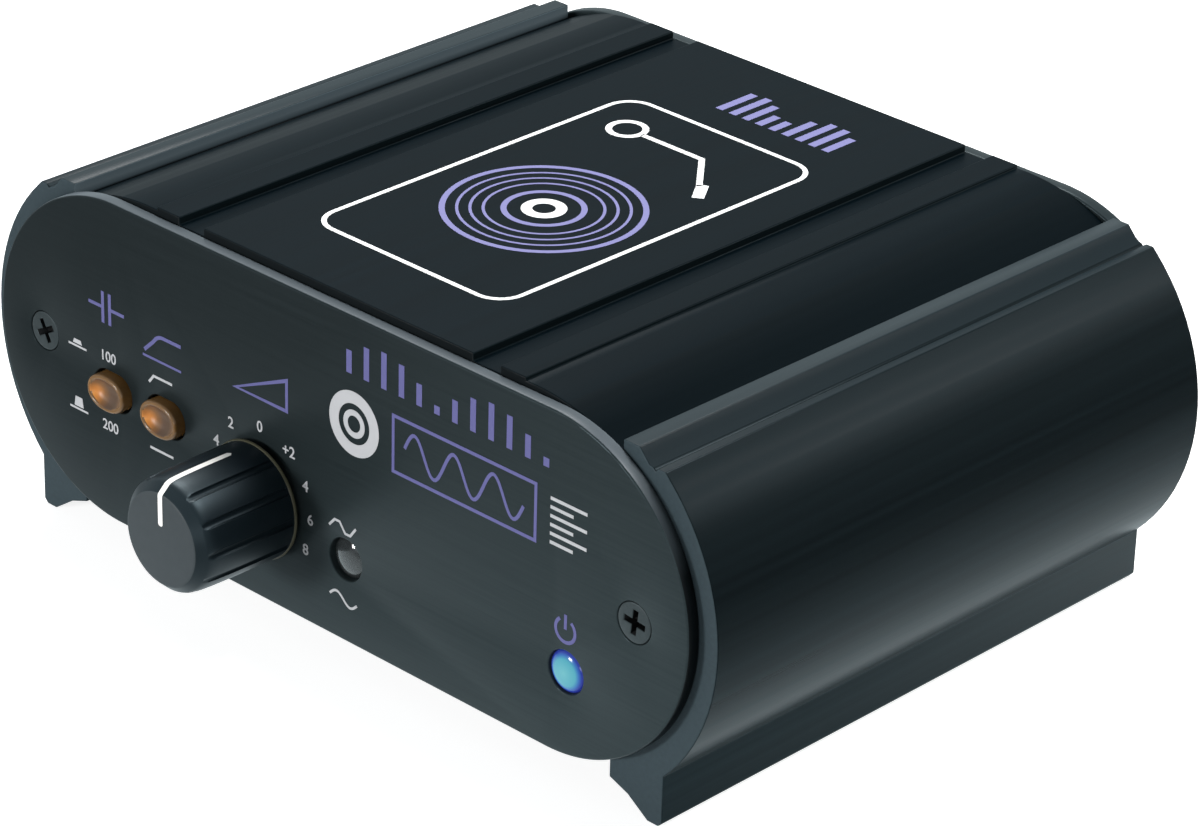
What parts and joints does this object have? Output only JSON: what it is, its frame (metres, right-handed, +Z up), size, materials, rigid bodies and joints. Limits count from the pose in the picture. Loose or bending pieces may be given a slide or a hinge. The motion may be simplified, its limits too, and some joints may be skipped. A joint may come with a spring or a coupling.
{
  "type": "phono preamplifier",
  "caption": "Desktop phono preamplifier: black extruded case with end plates, gain knob, push buttons, lamps, phono sockets and ground terminal.",
  "frame": {"origin": "centre of the box's base, on the surface that the foot rails stand on", "axes": "+X to the right seen from the front, +Y from the front plate to the rear plate, +Z up"},
  "size_m": [0.116, 0.109, 0.0461],
  "materials": {
    "black_anodised": "black anodised, satin, fine lines along the extrusion",
    "black_screw": "black oxide",
    "circuit_board": "glass epoxy with green solder mask",
    "black_plastic": "moulded, matt",
    "knob_plastic": "gloss sides, satin face, white pointer line",
    "amber_plastic": "translucent amber",
    "white_plastic": "moulded",
    "red_plastic": "moulded",
    "smoky_lens": "smoky clear epoxy",
    "blue_lens": "water clear epoxy, lit blue",
    "nickel_brass": "nickel plated brass",
    "zinc_steel": "zinc plated",
    "tinned_metal": "tinned",
    "green_insulation": "soft wire insulation",
    "capacitor_sleeve": "shrunk sleeve",
    "film_capacitor_case": "moulded box",
    "resistor_enamel": "enamelled"
  },
  "bodies": {
    "case": {"extruded_case": "black_anodised", "front_plate": "black_anodised", "rear_plate": "black_anodised", "front_plate_screws": "black_screw", "rear_plate_screws": "black_screw", "socket_shells": "nickel_brass", "socket_block_screws": "black_screw", "ground_stud": "nickel_brass", "ground_stud_nut": "nickel_brass", "main_board": "circuit_board", "gain_pot_housing": "black_plastic", "gain_pot_bush": "nickel_brass", "gain_pot_washer": "zinc_steel", "gain_pot_nut": "zinc_steel", "gain_pot_pins": "tinned_metal", "input_cap_switch": "black_plastic", "filter_switch": "black_plastic", "input_cap_spring": "zinc_steel", "filter_spring": "zinc_steel", "switch_pins": "tinned_metal", "switch_board": "circuit_board", "header_strip": "black_plastic", "header_pins": "tinned_metal", "clip_led": "smoky_lens", "power_led": "blue_lens", "clip_led_leads": "tinned_metal", "power_led_leads": "tinned_metal", "input_socket_block": "black_plastic", "output_socket_block": "black_plastic", "left_socket_insulators": "white_plastic", "right_socket_insulators": "red_plastic", "socket_contacts": "nickel_brass", "socket_pins": "tinned_metal", "power_inlet_body": "black_plastic", "power_inlet_pin": "nickel_brass", "power_inlet_tags": "tinned_metal", "ground_lug": "tinned_metal", "ground_wire": "green_insulation", "amplifier_chips": "black_plastic", "chip_legs": "tinned_metal", "small_electrolytics": "capacitor_sleeve", "filter_electrolytics": "capacitor_sleeve", "film_capacitors": "film_capacitor_case", "resistors": "resistor_enamel", "rectifier_diodes": "black_plastic", "axial_leads": "tinned_metal", "voltage_regulators": "black_plastic", "regulator_legs": "tinned_metal"},
    "knob": {"gain_knob": "knob_plastic", "gain_pot_shaft": "nickel_brass", "gain_pot_wiper": "black_plastic"},
    "input_cap_key": {"input_cap_button": "amber_plastic", "input_cap_plunger": "white_plastic"},
    "filter_key": {"filter_button": "amber_plastic", "filter_plunger": "white_plastic"},
    "ground_clamp": {"ground_washer": "nickel_brass"},
    "thumb_nut": {"ground_thumb_nut": "nickel_brass"}
  },
  "joints": [
    {"name": "gain_turn", "type": "hinge", "parent": "case", "child": "knob", "pos_m": [-0.0104, -0.0396, 0.01705], "axis": [0, 1, 0], "range_deg": [-140, 140]},
    {"name": "input_cap_press", "type": "slide", "parent": "case", "child": "input_cap_key", "axis": [0, 1, 0], "range_m": [0, 0.0015], "stiffness_N_per_m": 600, "springref_m": -0.001, "deforming": ["input_cap_spring"]},
    {"name": "filter_press", "type": "slide", "parent": "case", "child": "filter_key", "axis": [0, 1, 0], "range_m": [0, 0.0015], "stiffness_N_per_m": 600, "springref_m": -0.001, "deforming": ["filter_spring"]},
    {"name": "ground_clamp_slide", "type": "slide", "parent": "case", "child": "ground_clamp", "axis": [0, 1, 0], "range_m": [0, 0.0028]},
    {"name": "thumb_nut_turn", "type": "hinge", "parent": "ground_clamp", "child": "thumb_nut", "pos_m": [-0.008, 0.0482, 0.022], "axis": [0, 1, 0], "range_deg": [0, 1440]}
  ],
  "couplings": [
    {"joint": "thumb_nut_turn", "follows": "ground_clamp_slide", "rad_per_m": 8976}
  ]
}
